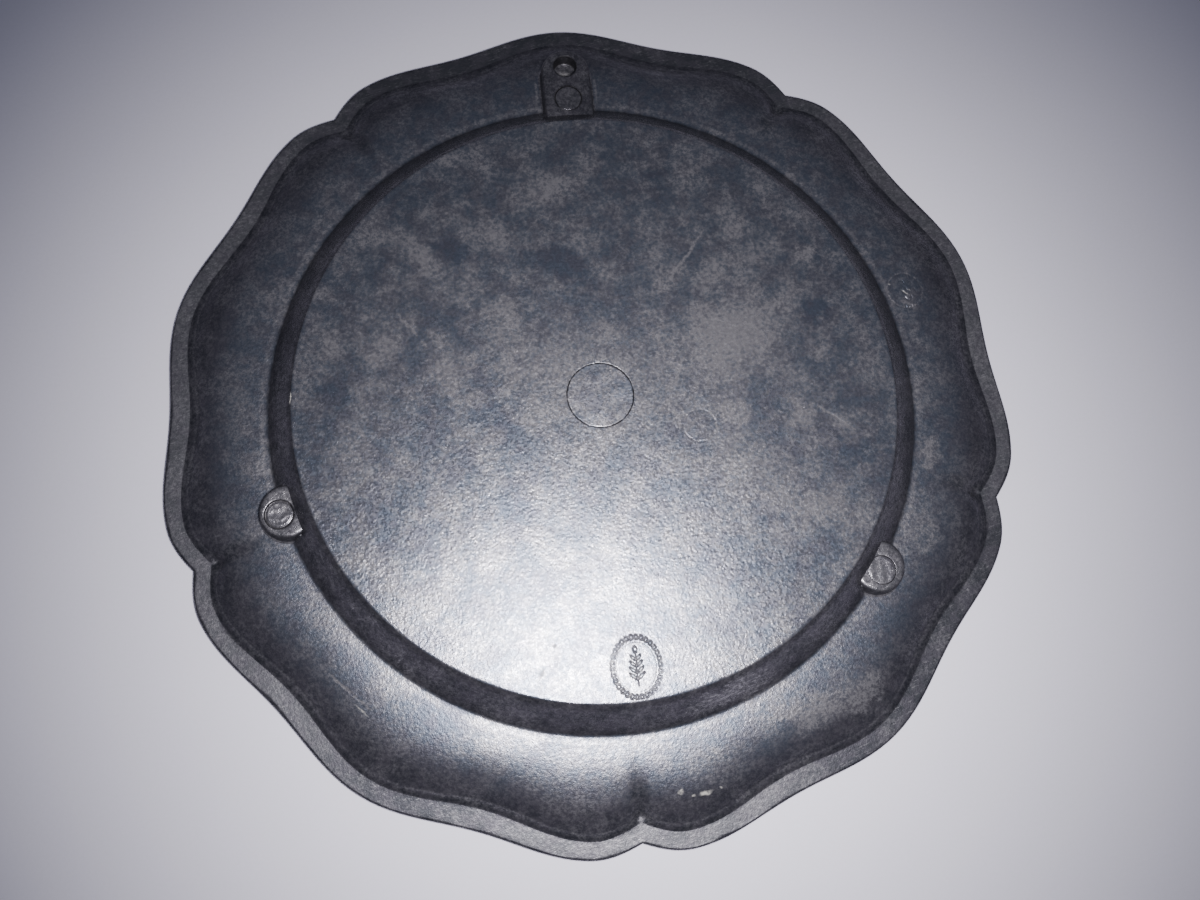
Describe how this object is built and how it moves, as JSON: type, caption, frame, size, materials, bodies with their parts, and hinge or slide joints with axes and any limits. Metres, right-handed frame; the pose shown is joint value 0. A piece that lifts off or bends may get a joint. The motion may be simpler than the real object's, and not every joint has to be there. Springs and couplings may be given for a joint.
{
  "type": "wall plate",
  "caption": "Round cast pewter wall plate with a lobed rim, a dished well, and a hanging lug with a nail hole and small pads on its back.",
  "frame": {"origin": "on the plate's axis, level with the rim's front face, which is what the plate lies on when it is face down", "axes": "+Z out of the plate's back, +Y from the axis towards the hanging lug, +X to the right as seen from the back with the lug at the top"},
  "size_m": [0.2368, 0.2393, 0.0172],
  "materials": {
    "pewter_casting": "dull grey pewter with a cloudy patina and fine scratches",
    "pewter_plug": "dull grey pewter, scraped flush",
    "pewter_boss": "dull grey pewter, as cast",
    "pewter_pin": "brighter pewter, uneven"
  },
  "bodies": {
    "root": {"plate_body": "pewter_casting", "centre_plug": "pewter_plug", "hanger_lug": "pewter_boss", "hanger_pin": "pewter_pin", "left_pad": "pewter_boss", "left_pad_pin": "pewter_pin", "right_pad": "pewter_boss", "right_pad_pin": "pewter_pin"}
  },
  "joints": []
}
